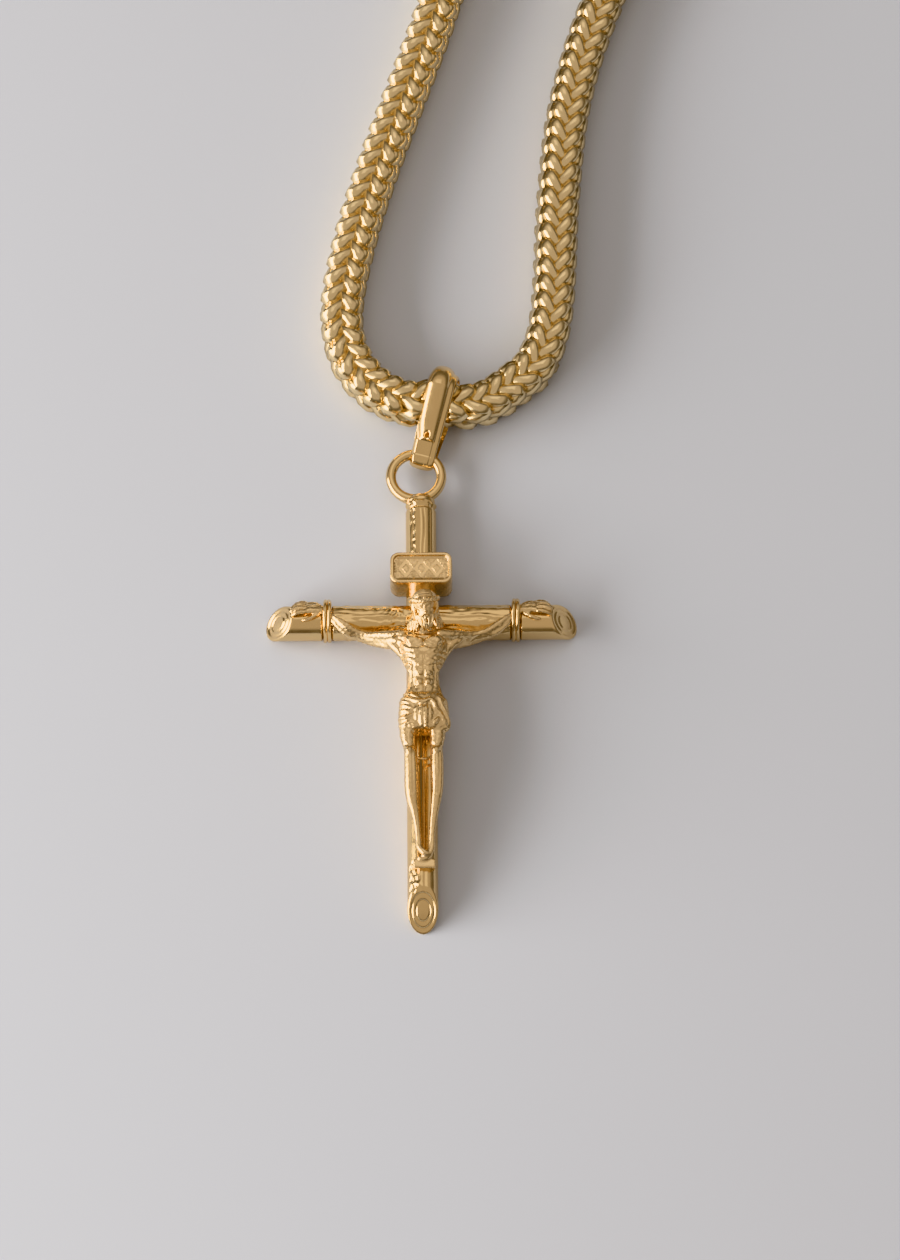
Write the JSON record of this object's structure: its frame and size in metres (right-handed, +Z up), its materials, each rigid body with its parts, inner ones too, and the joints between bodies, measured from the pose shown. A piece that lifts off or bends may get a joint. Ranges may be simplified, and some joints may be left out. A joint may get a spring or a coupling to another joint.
{
  "type": "crucifix pendant on a foxtail chain",
  "caption": "Round-bar crucifix with slant-cut ends, corpus, title plaque and wrist bands, hung by ring and tapered bail on a looped foxtail neck chain with a plain barrel clasp.",
  "frame": {"origin": "on the surface that the pendant lies on, under the crossing of the two bars, on the flat of the crossbar's back", "axes": "+X along the crossbar, +Y up the upright towards the ring, bail and chain, +Z up from the surface, out of the pendant's front"},
  "size_m": [0.0987, 0.191, 0.0049],
  "materials": {
    "polished_gold": "gold-plated brass, polished",
    "cast_gold": "gold-plated brass, cast and tumbled",
    "chain_gold": "gold-plated brass wire, linked and tumbled"
  },
  "bodies": {
    "root": {"cross": "polished_gold", "corpus": "cast_gold", "title_plaque": "cast_gold", "left_band": "polished_gold", "right_band": "polished_gold", "bail": "polished_gold", "chain_left": "chain_gold", "chain_right": "chain_gold", "clasp": "polished_gold"}
  },
  "joints": []
}
